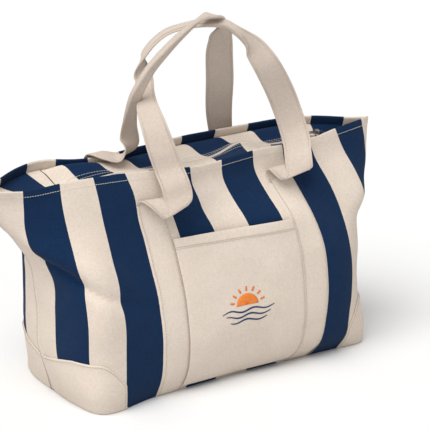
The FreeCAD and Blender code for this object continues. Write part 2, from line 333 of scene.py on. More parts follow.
def link(tree, value, socket):
    """Feeds a socket from another socket or sets it to a number, vector or colour."""
    if isinstance(value, bpy.types.NodeSocket):
        tree.links.new(value, socket)
    else:
        socket.default_value = value


def maths(tree, operation, *values, clamp=False):
    node = tree.nodes.new("ShaderNodeMath")
    node.operation, node.use_clamp = operation, clamp
    for value, socket in zip(values, node.inputs):
        link(tree, value, socket)
    return node.outputs[0]


def mix(tree, share, a, b, blend="MIX"):
    node = tree.nodes.new("ShaderNodeMix")
    node.data_type, node.blend_type = "RGBA", blend
    for value, socket in ((share, node.inputs[0]), (a, node.inputs[6]), (b, node.inputs[7])):
        link(tree, value, socket)
    return node.outputs[2]


def weighted_sum(tree, *terms):
    """Adds up pairs of a value and its weight."""
    total = None
    for value, weight in terms:
        part = maths(tree, "MULTIPLY", value, weight)
        total = part if total is None else maths(tree, "ADD", total, part)
    return total


def noise_map(tree, vector, scale, detail=3.0, stretch=(1, 1, 1)):
    placed = tree.nodes.new("ShaderNodeMapping")
    link(tree, vector, placed.inputs["Vector"])
    placed.inputs["Scale"].default_value = stretch
    node = tree.nodes.new("ShaderNodeTexNoise")
    link(tree, placed.outputs[0], node.inputs["Vector"])
    node.inputs["Scale"].default_value = scale
    node.inputs["Detail"].default_value = detail
    return node.outputs["Fac"]


def remap(tree, value, low, high, out_low, out_high):
    node = tree.nodes.new("ShaderNodeMapRange")
    for v, name in ((value, "Value"), (low, "From Min"), (high, "From Max"),
                    (out_low, "To Min"), (out_high, "To Max")):
        link(tree, v, node.inputs[name])
    return node.outputs["Result"]


NATURAL = (0.71, 0.626, 0.546, 1)
NATURAL_DARK = (0.60, 0.508, 0.425, 1)
NAVY = (0.0035, 0.017, 0.054, 1)
NAVY_WORN = (0.008, 0.029, 0.078, 1)
PITCH = 0.0095               # weave pitch in cloth units of 0.1 m
STRIPE_UNITS = STRIPE * UV_PER_M


def new_material(name):
    material = bpy.data.materials.new(name)
    material.use_nodes = True
    tree = material.node_tree
    return material, tree, tree.nodes["Principled BSDF"]


def add_relief(tree, shader, height, strength, distance):
    relief = tree.nodes.new("ShaderNodeBump")
    relief.inputs["Strength"].default_value = strength
    relief.inputs["Distance"].default_value = distance
    tree.links.new(height, relief.inputs["Height"])
    tree.links.new(relief.outputs[0], shader.inputs["Normal"])


def canvas_material(name, light=NATURAL, dark=NATURAL_DARK, striped=False, pitch=PITCH, bump=0.5):
    """Plain-woven canvas drawn in cloth coordinates, with slubs, mottling and, if asked, dyed stripes."""
    material, tree, shader = new_material(name)
    uv = tree.nodes.new("ShaderNodeUVMap")
    uv.uv_map = "cloth"
    split = tree.nodes.new("ShaderNodeSeparateXYZ")
    tree.links.new(uv.outputs[0], split.inputs[0])
    x, y = split.outputs[0], split.outputs[1]
    warp = maths(tree, "SINE", maths(tree, "MULTIPLY", x, math.pi / pitch))
    weft = maths(tree, "SINE", maths(tree, "MULTIPLY", y, math.pi / pitch))
    weave = maths(tree, "MULTIPLY", warp, weft)
    slub_up = noise_map(tree, uv.outputs[0], 1.0, 4, (150, 6, 1))
    slub_across = noise_map(tree, uv.outputs[0], 1.0, 4, (6, 150, 1))
    slub = maths(tree, "ADD", slub_up, slub_across)
    place = tree.nodes.new("ShaderNodeTexCoord").outputs["Object"]
    mottle = noise_map(tree, place, 22, 5)
    cloud = noise_map(tree, place, 6, 2)
    fleck = noise_map(tree, place, 420, 3)
    shade = weighted_sum(tree, (slub, 0.22), (mottle, 0.3), (fleck, 0.6), (cloud, 0.2), (weave, 0.05))
    share = remap(tree, shade, 0.56, 0.98, 0.0, 1.0)
    colour = mix(tree, share, light, dark)
    if striped:
        fray = maths(tree, "MULTIPLY", maths(tree, "SUBTRACT", slub_across, 0.5), 0.02)
        stripe = maths(tree, "ADD", maths(tree, "DIVIDE", x, STRIPE_UNITS), fray)
        dyed = maths(tree, "GREATER_THAN", maths(tree, "MODULO", stripe, 2.0), 1.0)
        rubbed = maths(tree, "ADD", slub, maths(tree, "MULTIPLY", weave, 0.12))
        worn = remap(tree, rubbed, 0.75, 1.5, 0.0, 1.0)
        navy = mix(tree, worn, NAVY, NAVY_WORN)
        colour = mix(tree, dyed, colour, navy)
    tree.links.new(colour, shader.inputs["Base Color"])
    shader.inputs["Roughness"].default_value = 0.93
    shader.inputs["Specular IOR Level"].default_value = 0.08
    shader.inputs["Sheen Weight"].default_value = 0.03
    shader.inputs["Sheen Roughness"].default_value = 0.6
    height = weighted_sum(tree, (weave, 0.35), (slub, 0.9), (mottle, 1.2))
    add_relief(tree, shader, height, bump, 0.0006)
    return material


def yarn_material(name, light, dark):
    """Twisted sewing thread or coil: fine slanting plies."""
    material, tree, shader = new_material(name)
    place = tree.nodes.new("ShaderNodeTexCoord").outputs["Object"]
    twist = noise_map(tree, place, 900, 2, (1, 1, 3))
    tree.links.new(mix(tree, twist, light, dark), shader.inputs["Base Color"])
    shader.inputs["Roughness"].default_value = 0.7
    add_relief(tree, shader, twist, 0.4, 0.0002)
    return material


def metal_material(name):
    """Nickel-plated zip metal with light brushing and handling marks."""
    material, tree, shader = new_material(name)
    place = tree.nodes.new("ShaderNodeTexCoord").outputs["Object"]
    brushing = noise_map(tree, place, 400, 4, (1, 8, 8))
    marks = noise_map(tree, place, 260, 3)
    tree.links.new(mix(tree, marks, (0.70, 0.69, 0.66, 1), (0.52, 0.50, 0.47, 1)),
                   shader.inputs["Base Color"])
    tree.links.new(remap(tree, brushing, 0.3, 0.7, 0.22, 0.42), shader.inputs["Roughness"])
    shader.inputs["Metallic"].default_value = 1.0
    return material


STRIPED = canvas_material("striped_canvas_cloth", striped=True)
PLAIN = canvas_material("natural_canvas_cloth")
# The handles use a darker copy of the natural canvas that the sewn straps wear: the darkening is painted
# shade for the handle legs, which lean out and face down.
HANDLE = canvas_material("handle_cloth_painted_shade", (0.59, 0.51, 0.445, 1), (0.49, 0.41, 0.345, 1))
TAPE = canvas_material("tape_cloth", (0.76, 0.69, 0.61, 1), (0.68, 0.60, 0.52, 1), pitch=0.006, bump=0.3)
THREAD = yarn_material("sewing_thread", (0.80, 0.75, 0.68, 1), (0.68, 0.62, 0.54, 1))
TAN_THREAD = yarn_material("strap_thread", (0.50, 0.41, 0.33, 1), (0.36, 0.29, 0.23, 1))
COIL = yarn_material("zip_coil", (0.76, 0.69, 0.61, 1), (0.66, 0.58, 0.50, 1))
METAL = metal_material("zip_metal")
PRINT_ORANGE = canvas_material("print_orange", (0.80, 0.24, 0.05, 1), (0.62, 0.17, 0.04, 1))
PRINT_NAVY = canvas_material("print_navy", (0.012, 0.030, 0.090, 1), (0.03, 0.06, 0.13, 1))


# ---------------------------------------------------------------- stitches

def resample(points, normals, step):
    """Middles, directions and outward normals at equal steps along a line."""
    points, normals = np.asarray(points, float), np.asarray(normals, float)
    lengths = np.concatenate([[0], np.cumsum(np.linalg.norm(np.diff(points, axis=0), axis=1))])
    at = np.arange(step / 2, lengths[-1], step)
    centre = np.stack([np.interp(at, lengths, points[:, k]) for k in range(3)], axis=1)
    ahead = np.stack([np.interp(at + step / 4, lengths, points[:, k]) for k in range(3)], axis=1)
    behind = np.stack([np.interp(at - step / 4, lengths, points[:, k]) for k in range(3)], axis=1)
    normal = np.stack([np.interp(at, lengths, normals[:, k]) for k in range(3)], axis=1)
    return centre, unit(ahead - behind), unit(normal)


def stitches(name, runs, material=None, step=3.3 * MM, radius=0.33 * MM, share=0.74):
    """Rows of short threads that bulge out of the cloth and dive back in at each needle hole."""
    around_thread, along_thread = 6, ((-0.5, 0.35), (-0.3, 0.95), (0.0, 1.1), (0.3, 0.95), (0.5, 0.35))
    angles = np.arange(around_thread) * 2 * math.pi / around_thread
    points, faces = [], []
    for line, normals in runs:
        centres, tangents, outs = resample(line, normals, step)
        for c, t, n in zip(centres, tangents, outs):
            b = np.cross(t, n)
            start = len(points)
            for place, thick in along_thread:
                lift = radius * (0.55 - 5.0 * place * place)
                middle = c + t * place * step * share + n * lift
                for a in angles:
                    points.append(middle + (b * math.cos(a) + n * math.sin(a)) * radius * thick)
            rings = len(along_thread)
            faces += [tuple(start + i for i in f) for f in grid_faces(rings, around_thread, closed=True)]
            faces.append(tuple(start + i for i in range(around_thread))[::-1])
            faces.append(tuple(start + (rings - 1) * around_thread + i for i in range(around_thread)))
    return mesh_object(name, points, faces, material=material or THREAD)


def cloth_run(s, v, out):
    """A stitch line on the bag's cloth through the places (s, v)."""
    s, v = np.broadcast_arrays(np.asarray(s, float), np.asarray(v, float))
    return cloth.points(s, v, out), unit(cloth.read(cloth.normals, s, v))


# ---------------------------------------------------------------- panels and base

def panel(side):
    """One striped panel from side seam to side seam; its folded hem is the separate hem band."""
    start = 0 if side == "front" else STRIPES * COLUMNS
    columns = STRIPES * COLUMNS + 1
    index = (start + np.arange(columns)) % (2 * STRIPES * COLUMNS)
    points = cloth.grid[:, index]
    u = np.arange(columns) / COLUMNS
    if side == "back":
        u = STRIPES - u
    piece = mesh_object(side + "_cloth", points, grid_faces(ROWS + 1, columns),
                        cloth_uv(u, np.linspace(0, 1, ROWS + 1)), STRIPED)
    thicken(piece, CANVAS)
    smooth_once(piece)
    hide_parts(side + "_panel")
    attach(piece, "bag")


def hem_band(side):
    """The rim's second layer, folded to the inside and a little proud of the cloth."""
    s = np.linspace(0, STRIPES, STRIPES * COLUMNS + 1) + (0 if side == "front" else STRIPES)
    v = 1 - np.array([-0.002, 0.004, 0.012, 0.03, 0.045, 0.052])
    out = np.array([-0.7, -2.0, -2.4, -2.4, -2.4, -1.9]) * MM
    points = np.stack([cloth.points(s, np.full_like(s, min(a, 1)), b) for a, b in zip(v, out)])
    u = s if side == "front" else 2 * STRIPES - s
    piece = mesh_object(side + "_hem", points, grid_faces(len(v), len(s)),
                        cloth_uv(u, v), STRIPED)
    thicken(piece, 0.7 * MM, offset=1)
    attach(piece, "bag")


def base():
    """The striped base, drawn in a little along its long sides and lifted slightly in the middle."""
    across, deep = 4 * STRIPES, 24
    us = np.linspace(-STRIPES / 2 + 0.1, STRIPES / 2 - 0.1, across + 1)
    front = cloth.points(around("front", us), np.zeros_like(us))
    rear = cloth.points(around("back", us), np.zeros_like(us))
    share = np.linspace(0, 1, deep + 1)[:, None, None]
    points = front[None] * (1 - share) + rear[None] * share
    points[:, :, 2] += 1.5 * MM * np.sin(math.pi * share[:, :, 0]) * np.cos(us / STRIPES * math.pi)[None]
    uv = points[:, :, :2].reshape(-1, 2) * 10 + np.array([STRIPES * STRIPE * 5, 0])
    piece = mesh_object("base_cloth", points, grid_faces(deep + 1, across + 1), uv,
                        STRIPED)
    thicken(piece, CANVAS, offset=0)
    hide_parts("base_panel")
    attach(piece, "bag")


def rim_stitching():
    s = np.linspace(0, 2 * STRIPES, 2 * STRIPES * 12)
    v = 1 - HEM / PANEL_HEIGHT
    outside = cloth_run(s, np.full_like(s, v), 0.2 * MM)
    line, normals = cloth_run(s, np.full_like(s, v), -2.5 * MM)
    piece = stitches("rim_stitching", [outside, (line, -normals)], step=2.9 * MM, radius=0.26 * MM)
    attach(piece, "bag")


def side_seams():
    """The two side seams: a shallow felled ridge with a row of stitches beside it."""
    runs = []
    for s, hand in ((0, "left"), (STRIPES, "right")):
        v = np.linspace(0.0, 0.985, 80)
        widths = np.array([-0.085, -0.07, -0.02, 0.02, 0.035])
        lifts = np.array([0.05, 0.7, 0.8, 0.6, 0.05]) * MM
        points = np.stack([cloth.points(s + w, v, lift) for w, lift in zip(widths, lifts)], axis=1)
        uv = cloth_uv(widths + 0.05 / (STRIPE * UV_PER_M), v)
        piece = mesh_object("side_seam_" + hand, points,
                            grid_faces(len(v), len(widths)), uv, PLAIN)
        thicken(piece, 0.7 * MM)
        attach(piece, "bag")
        runs.append(cloth_run(s - 0.055, v, 0.95 * MM))
        binding = cloth_band("side_seam_tape_" + hand, s - 0.14, s + 0.14, 0.03, 0.93, -2.8 * MM,
                             1.0 * MM, TAPE)
        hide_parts("side_seam_binding_" + hand)
        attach(binding, "bag")
    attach(stitches("side_seam_stitching", runs, TAN_THREAD), "bag")


def cloth_band(name, s0, s1, v0, v1, out, thickness, material, rows=40):
    """A flat band of cloth lying on the bag between two places round it and two heights."""
    columns = max(3, int(abs(s1 - s0) * COLUMNS) + 1)
    s = np.linspace(s0, s1, columns)
    v = np.linspace(v0, v1, rows)
    table = np.stack([cloth.points(s, np.full_like(s, a), out) for a in v])
    piece = mesh_object(name, table, grid_faces(rows, columns), cloth_uv(s, v),
                        material)
    thicken(piece, thickness, offset=1 if out >= 0 else -1)
    return piece


def base_seam():
    """The tape over the seam between the base and the panels, inside the bag."""
    s = np.linspace(0, 2 * STRIPES, 2 * STRIPES * 4, endpoint=False)
    v = np.linspace(0.01, 0.045, 4)
    table = np.stack([cloth.points(s, np.full_like(s, a), -2.0 * MM) for a in v])
    piece = mesh_object("base_seam_tape", table, grid_faces(len(v), len(s), closed=True),
                        cloth_uv(s, v), TAPE)
    thicken(piece, 1.0 * MM, offset=-1)
    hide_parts("base_seam_binding")
    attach(piece, "bag")


# ---------------------------------------------------------------- patches, straps and pocket

PATCH_FRONT = 3.5            # a patch's front edge, in stripes from the panel's middle


def patch_top(u):
    """Height of a corner patch's top edge, in shares of the panel, at u stripes from the middle."""
    rounded = min(1.0, max(0.0, (abs(u) - PATCH_FRONT - 0.02) / 0.75))
    return 0.115 + 0.105 * math.sin(rounded * math.pi / 2) - 0.035 * max(0.0, abs(u) - 5.0)


def corner_patch(side, hand):
    """A plain reinforcement with a rounded front corner, wrapped round the base corner to the side seam."""
    sign = -1 if hand == "left" else 1
    us = sign * np.linspace(PATCH_FRONT, STRIPES / 2 - 0.09, 40)
    shares = np.linspace(0, 1, 14)
    tops = np.array([patch_top(u) for u in us])
    s = around(side, us)
    points = np.stack([cloth.points(s, tops * a, 0.3 * MM) for a in shares])
    points[0, :, 2] = np.maximum(points[0, :, 2], 0.4 * MM)
    uv = np.stack([np.broadcast_to(us * STRIPE * 10, (len(shares), len(us))),
                   shares[:, None] * tops[None] * PANEL_HEIGHT * 10], axis=-1)
    faces = grid_faces(len(shares), len(us), flip=(sign < 0) == (side == "front"))
    piece = mesh_object("patch_%s_%s" % (side, hand), points, faces, uv,
                        PLAIN)
    thicken(piece, 1.3 * MM, offset=1)
    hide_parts("corner_patch_%s_%s" % (side, hand))
    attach(piece, "bag")
    inset = 2.6 * MM / PANEL_HEIGHT
    edge_u = sign * np.concatenate([np.full(12, PATCH_FRONT + 0.06), np.abs(us[1:])])
    edge_v = np.concatenate([np.linspace(0.01, 0.115 - inset, 12), tops[1:] - inset])
    return cloth_run(around(side, edge_u), edge_v, 1.9 * MM)


def sewn_strap(side, hand):
    """A strap sewn flat to the panel from the base up; it ends where the handle comes free."""
    sign = -1 if hand == "left" else 1
    us = sign * np.linspace(STRAP_INNER, STRAP_OUTER, 9)
    v = np.linspace(0.002, STRAP_TOP[side, hand], 60)
    s = around(side, us)
    crown = np.array([0.2, 0.9, 1.15, 1.2, 1.2, 1.2, 1.15, 0.9, 0.2]) * MM
    points = np.stack([cloth.points(s, np.full_like(s, a), crown) for a in v])
    faces = grid_faces(len(v), len(us), flip=(sign < 0) != (side == "front"))
    piece = mesh_object("strap_%s_%s" % (side, hand), points, faces, cloth_uv(us, v),
                        PLAIN)
    thicken(piece, 1.4 * MM, offset=1)
    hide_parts("%s_strap_%s" % (side, hand))
    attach(piece, "bag")
    runs = []
    for edge in (STRAP_INNER + 0.06, STRAP_OUTER - 0.06):
        runs.append(cloth_run(around(side, np.full(len(v), sign * edge)), v, 2.35 * MM))
    return runs


def pocket_out(u, v):
    """How far the pocket stands off the panel: sewn down at its sides and foot, slack at its mouth."""
    across = np.clip(1 - (np.abs(u) / STRAP_INNER) ** 4, 0, 1)
    up = np.clip(v / POCKET_TOP, 0, 1)
    return (0.9 + across * (1.2 + 2.6 * up ** 3)) * MM


def pocket():
    us = np.linspace(-STRAP_INNER, STRAP_INNER, 44)
    v = np.linspace(0.028, POCKET_TOP, 50)
    s = around("front", us)
    points = np.stack([cloth.points(s, np.full_like(s, a), pocket_out(us, a)) for a in v])
    piece = mesh_object("pocket_cloth", points, grid_faces(len(v), len(us)),
                        cloth_uv(us, v), PLAIN)
    thicken(piece, 1.1 * MM, offset=1)
    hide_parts("front_pocket")
    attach(piece, "bag")
    hem_v = np.linspace(POCKET_TOP - 0.045, POCKET_TOP + 0.001, 6)
    table = np.stack([cloth.points(s, np.full_like(s, a), pocket_out(us, a) + 1.1 * MM) for a in hem_v])
    uv = cloth_uv(us + 0.3 / (STRIPE * UV_PER_M), hem_v)
    hem = mesh_object("pocket_hem", table, grid_faces(len(hem_v), len(us)),
                      uv, PLAIN)
    thicken(hem, 0.7 * MM, offset=1)
    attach(hem, "bag")
    line = cloth.points(s, np.full_like(s, POCKET_TOP - 0.038), pocket_out(us, POCKET_TOP) + 1.9 * MM)
    normals = unit(cloth.read(cloth.normals, s, np.full_like(s, POCKET_TOP)))
    return [(line, normals)]


def on_pocket(x, y, lift=1.28 * MM):
    """A point of the pocket's face, x and y in metres from the mark's middle."""
    u = 0.02 + x / STRIPE
    v = 0.33 + y / PANEL_HEIGHT
    return cloth.points(around("front", u), v, pocket_out(u, v) + lift)


def pocket_print():
    """A generic printed mark: a half sun over three wavy lines."""
    radius, steps = 14 * MM, 28
    centre = (0.0, 4 * MM)
    rings = [0.02, 0.4, 0.75, 1.0]
    points, uv, faces = [], [], []
    for ring in rings:
        for i in range(steps + 1):
            a = math.pi * i / steps
            x, y = centre[0] + ring * radius * math.cos(a), centre[1] + ring * radius * math.sin(a)
            points.append(on_pocket(x, y))
            uv.append((x * 10, y * 10))
    faces += grid_faces(len(rings), steps + 1, flip=True)
    for ray in range(7):
        a = math.pi * (ray + 0.5) / 7
        start = len(points)
        for r in np.linspace(1.22, 1.62, 4):
            for w in (-0.085, 0.085):
                x = centre[0] + radius * (r * math.cos(a) - w * math.sin(a))
                y = centre[1] + radius * (r * math.sin(a) + w * math.cos(a))
                points.append(on_pocket(x, y))
                uv.append((x * 10, y * 10))
        faces += [tuple(start + i for i in f) for f in grid_faces(4, 2, flip=True)]
    sun = mesh_object("pocket_print_sun", points, faces, uv, PRINT_ORANGE)
    points, uv, faces = [], [], []
    for wave in range(3):
        half = (34 - 5 * wave) * MM
        start = len(points)
        count = 60
        for i in range(count):
            x = -half + 2 * half * i / (count - 1)
            y = (-2 - 6.2 * wave) * MM + 1.6 * MM * math.sin(x / (4.8 * MM) + wave)
            thick = 1.0 * MM * (0.25 + 0.75 * math.sin(math.pi * i / (count - 1)) ** 0.5)
            for w in (-thick, thick):
                points.append(on_pocket(x, y + w))
                uv.append((x * 10, (y + w) * 10))
        faces += [tuple(start + i for i in f) for f in grid_faces(count, 2, flip=True)]
    waves = mesh_object("pocket_print_waves", points, faces, uv, PRINT_NAVY)
    for piece in (sun, waves):
        thicken(piece, 0.12 * MM, offset=1, rounded=False)
        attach(piece, "bag")


# ---------------------------------------------------------------- handles
# Stations along each strap from its left root to its right one: middle (mm), the direction across the
# strap, its width and its thickness (mm). Where the strap is folded for the grip it is narrow and thick.

FRONT_HANDLE = (
    ((-100, -58.5, 219), (1, -0.04, 0), 33.6, 1.7),
    ((-101, -57.5, 231), (1, -0.05, -0.05), 34, 2.3),
    ((-98, -64, 238), (0.97, -0.15, 0), 34, 2.6),
    ((-92, -74, 237), (0.9, -0.25, 0.25), 35, 2.6),
    ((-86, -82, 231), (0.82, -0.3, 0.45), 35, 2.6),
    ((-81.5, -86, 226), (0.8, -0.3, 0.5), 33, 2.6),
    ((-78, -87, 232), (0.8, -0.36, 0.46), 34, 2.6),
    ((-77, -83, 243), (0.83, -0.43, 0.35), 35, 2.6),
    ((-79, -79, 258), (0.85, -0.45, 0.28), 34, 2.6),
    ((-80, -68, 273), (0.85, -0.45, 0.26), 34, 2.6),
    ((-86, -62, 296), (0.85, -0.45, 0.25), 33, 2.6),
    ((-88, -49, 321), (0.85, -0.45, 0.25), 30, 2.8),
    ((-80, -23, 336), (0.85, -0.4, 0.2), 26, 3.6),
    ((-68, -2, 345), (0.9, -0.2, 0.1), 21, 5.0),
    ((-59, 16, 356), (0.9, -0.2, 0.2), 23, 3.6),
    ((-59, 23, 368), (0.8, 0.2, 0.3), 24, 3.4),
    ((-55, 24, 382), (0.45, 0.9, -0.05), 25, 3.2),
    ((-43, 20, 398), (0.33, 0.99, -0.15), 26, 3.2),
    ((-25, 17, 409), (0.45, 0.96, -0.04), 26, 3.2),
    ((-2, 11, 414), (0.55, 0.88, 0.0), 25, 3.6),
    ((11, -7, 419), (0.25, 1, 0.1), 19, 6.0),
    ((27, -20, 419), (0.1, 0.9, 0.55), 15, 8.0),
    ((40, -30, 410), (0.2, 0.7, 0.75), 15, 8.0),
    ((53, -35, 399), (0.45, 0.3, 0.8), 19, 6.5),
    ((63, -39, 385), (0.8, -0.25, 0.5), 28, 3.4),
    ((74, -46, 365), (0.9, -0.4, 0.3), 33, 2.6),
    ((92, -45, 334), (0.88, -0.42, 0.28), 34, 2.6),
    ((104, -45, 307), (0.86, -0.42, 0.25), 34, 2.6),
    ((109, -50, 286), (0.86, -0.42, 0.22), 34, 2.6),
    ((108, -60, 270), (0.86, -0.42, 0.25), 34, 2.6),
    ((103, -70, 257), (0.85, -0.42, 0.3), 34, 2.6),
    ((100, -77, 246), (0.85, -0.4, 0.34), 34, 2.6),
    ((97.5, -79.5, 238), (0.87, -0.36, 0.34), 36, 2.6),
    ((93, -77, 236), (0.9, -0.3, 0.32), 36, 2.6),
    ((88, -70, 240), (0.95, -0.2, 0.2), 35, 2.6),
    ((84, -61, 243), (0.99, -0.08, 0.05), 34, 2.6),
    ((82.5, -55.5, 236), (1, 0, 0), 34, 2.3),
    ((85, -60.5, 224), (1, 0, 0), 33.6, 1.7),
)
BACK_HANDLE = (
    ((-105, 59, 213), (1, 0, 0), 33.6, 1.7),
    ((-106, 54, 226), (1, 0, 0), 34, 2.2),
    ((-110, 49, 246), (1, 0.05, 0), 34, 2.6),
    ((-116, 41, 261), (1, 0.1, 0), 30, 2.6),
    ((-119, 31, 271.5), (1, 0.25, -0.1), 25, 2.8),
    ((-109, 23, 269), (0.75, 0.65, 0), 28, 3.0),
    ((-96, 19, 265.5), (0.3, 0.85, 0.1), 27, 3.0),
    ((-84.5, 18, 271), (0.35, 0.6, -0.45), 26, 3.0),
    ((-79, 18, 284), (0.85, -0.25, -0.25), 25, 3.0),
    ((-83, 12, 304), (0.8, -0.3, 0.1), 19, 4.5),
    ((-88, -2, 330), (0.75, -0.1, 0.2), 16, 7.0),
    ((-86, -13, 354), (0.75, 0.1, -0.4), 16, 8.0),
    ((-72, -19, 380), (0.6, 0.35, -0.6), 16, 8.0),
    ((-50, -20, 400), (0.5, 0.55, -0.6), 16, 8.0),
    ((-27, -17, 414), (0.45, 0.7, -0.5), 17, 7.5),
    ((-8, -22, 428), (0.4, 0.85, -0.3), 20, 6.0),
    ((11, -17, 430), (0.1, 1, 0), 23, 4.5),
    ((29, -7, 420), (-0.2, 0.9, -0.3), 27, 3.6),
    ((38, 1, 402), (0.75, -0.3, 0.4), 30, 3.0),
    ((42, 8, 375), (1, -0.5, 0.1), 33, 2.6),
    ((53, 23, 335), (1, -0.5, 0.05), 34, 2.6),
    ((65, 42, 292), (1, -0.3, 0), 34, 2.6),
    ((76, 54, 258), (1, -0.05, 0), 34, 2.6),
    ((81, 56, 230), (1, 0, 0), 34, 2.2),
    ((82, 61, 216), (1, 0, 0), 33.6, 1.7),
)
AROUND_STRAP = 20            # mesh points round a handle's section
STATION_STEPS = 7            # mesh rings from one station to the next


def strap_path(stations):
    """Smooth middles, across and out directions, widths and thicknesses along a handle."""
    knots = np.arange(len(stations), dtype=float)
    at = np.linspace(0, knots[-1], (len(stations) - 1) * STATION_STEPS + 1)
    middle = spline(knots, [s[0] for s in stations], at) * MM
    across = spline(knots, [s[1] for s in stations], at)
    width = spline(knots, [s[2] for s in stations], at) * MM
    thick = spline(knots, [s[3] for s in stations], at) * MM
    tangent = unit(np.gradient(middle, axis=0))
    across = unit(across)
    return middle, across, unit(np.cross(across, tangent)), width, thick


def handle(side, stations):
    """One strap handle: flat legs, twisted and folded lengthwise where hands gather it."""
    middle, across, out, width, thick = strap_path(stations)
    length = np.concatenate([[0], np.cumsum(np.linalg.norm(np.diff(middle, axis=0), axis=1))])
    angles = np.arange(AROUND_STRAP) * 2 * math.pi / AROUND_STRAP
    cos, sin = np.cos(angles), np.sin(angles)
    wide = np.sign(cos) * np.abs(cos) ** 0.45 / 2
    high = np.sign(sin) * np.abs(sin) ** 0.7 / 2
    fold = np.clip((STRAP_WIDTH - width) / (STRAP_WIDTH * 0.5), 0, 1)
    points, uv = [], []
    for i in range(len(middle)):
        crease = -0.32 * fold[i] * np.exp(-(wide * 2 / 0.42) ** 2) * np.sign(high)
        cup = 0.9 * MM * np.cos(wide * math.pi) * math.sin(length[i] / 0.031)
        wave = noise.noise(Vector(middle[i]) * 30) * 1.2 * MM
        for w, h, c, lift in zip(wide, high, crease, cup):
            height = (h + 0.5 * c) * thick[i] + lift * 0.5 + wave
            points.append(middle[i] + across[i] * w * width[i] + out[i] * height)
            uv.append((w * STRAP_WIDTH * 10 + (0.5 if h < 0 else 0), length[i] * 10))
    count = len(middle)
    faces = grid_faces(count, AROUND_STRAP, closed=True)
    faces.append(tuple(range(AROUND_STRAP))[::-1])
    faces.append(tuple((count - 1) * AROUND_STRAP + k for k in range(AROUND_STRAP)))
    # The handle cloth is darkened: painted shade for the leaning handle legs.
    piece = mesh_object(side + "_handle_strap", points, faces, uv, HANDLE)
    smooth_once(piece)
    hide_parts(side + "_handle")
    runs = []
    for edge in (-1, 1):
        for face in (-1, 1):
            inset = width / 2 - 3.0 * MM
            line = middle + across * (edge * inset)[:, None] + out * (face * thick / 2 * 0.93)[:, None]
            runs.append((line, out * face))
    sewing = stitches(side + "_handle_stitching", runs, TAN_THREAD)
    for thing in (piece, sewing):
        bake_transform(thing)


# ---------------------------------------------------------------- closure and zip

FLAP_HALF = 0.178            # the opening panels reach this far each way along the bag
FLAP_U = 4.0                 # and this many stripes
ZIP_HALF = 2.6 * MM          # half of the zip's width between the closure's edges
CLOSURE_V = 0.955            # height at which the closure is sewn to the rim, as a share of the panel's
ROLL = 0.4                   # how much of the closure's spare depth shows as one roll
END_DROP = 2.5 * MM          # the fixed ends lie this far below the zip, clear of the slider
END_SAG = 4.0                # and sag this many mm between the rim and the zip


def closure_depth(side):
    """The depth a closure panel is cut to, from its fold at the rim to the zip."""
    low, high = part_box(side + "_closure")
    return high[1] - low[1]


def zip_line(x):
    """Place of the zip's middle at x: it rises a little where the closure is pushed up from below."""
    x = np.asarray(x, float)
    rise = 11.5 * MM * np.exp(-((x - 0.068) / 0.028) ** 2) + 6 * MM * np.exp(-((x + 0.11) / 0.05) ** 2)
    y = 1.5 * MM * np.sin(x / 0.06) * np.clip((0.16 - np.abs(x)) / 0.05, 0, 1)
    return np.stack([x, y, 248.6 * MM + rise], axis=-1)


def zip_x(u):
    """Along the zip, in metres, for a place u stripes from the closure's middle."""
    u = np.asarray(u, float)
    past = np.clip(np.abs(u) - FLAP_U, 0, None)
    return np.sign(u) * (np.minimum(np.abs(u), FLAP_U) / FLAP_U * FLAP_HALF + past * 17 * MM)


def closure_points(side, us, shares):
    """A closure panel from the rim hem to the zip. What is cut deeper than the mouth stands up as a roll
    beside the rim and sinks beside the zip."""
    toward = -1 if side == "front" else 1
    edge = cloth.points(around(side, us), np.full_like(us, CLOSURE_V), -3.4 * MM)
    inner = zip_line(zip_x(us)) + np.array([0, toward * ZIP_HALF, 0])
    inner[:, 2] -= END_DROP * np.clip((np.abs(us) - FLAP_U) / 0.3, 0, 1)
    t = np.asarray(shares)[:, None, None]
    points = edge[None] * (1 - t) + inner[None] * t
    span = np.linalg.norm(inner - edge, axis=1)
    spare = np.clip(closure_depth(side) - span, 0, None) * np.clip(FLAP_U + 1 - np.abs(us), 0, 1)
    roll = ROLL * np.sqrt(spare * span) / math.pi
    hang = np.sin(math.pi * t[:, :, 0]) ** 0.8
    billow = (2.2 * np.sin(us * 1.9 + (0.6 if side == "front" else 2.2))
              + 7.5 * np.exp(-((us + 2.9) / 0.9) ** 2) * (1.0 if side == "back" else 0.5) + 1.0)
    ends = np.clip((np.abs(us) - FLAP_U + 0.3) / 0.3, 0, 1)
    billow = billow * (1 - ends) - END_SAG * ends
    points[:, :, 2] += hang * billow[None] * MM + np.sin(2 * math.pi * t[:, :, 0]) * roll[None]
    return points


def closure_flap(side):
    """One opening panel of the closure."""
    us = np.linspace(-FLAP_U, FLAP_U, int(2 * FLAP_U * COLUMNS))
    shares = np.linspace(0, 1, 18)
    points = closure_points(side, us, shares)
    depth = np.linalg.norm(points[0] - points[-1], axis=1)
    uv = np.stack([np.broadcast_to((us + STRIPES / 2) * STRIPE * 10, points.shape[:2]),
                   shares[:, None] * depth[None] * 10], axis=-1)
    faces = grid_faces(len(shares), len(us), flip=side == "back")
    piece = mesh_object(side + "_closure_cloth", points, faces, uv,
                        STRIPED)
    thicken(piece, 1.2 * MM, offset=-1)
    smooth_once(piece)
    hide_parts(side + "_closure")
    return piece


def blend_flap(piece):
    """The closure starts at the rim; this bakes the piece's placement into its mesh."""
    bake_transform(piece)


def closure(side):
    flap = closure_flap(side)
    blend_flap(flap)
    us = np.linspace(-FLAP_U, FLAP_U, 120)
    runs = []
    for share in (0.80, 0.92):
        points = closure_points(side, us, [share])[0] + np.array([0, 0, 0.35 * MM])
        runs.append((points, np.tile((0.0, 0.0, 1.0), (len(us), 1))))
    sewing = stitches(side + "_closure_stitching", runs, radius=0.24 * MM)
    blend_flap(sewing)


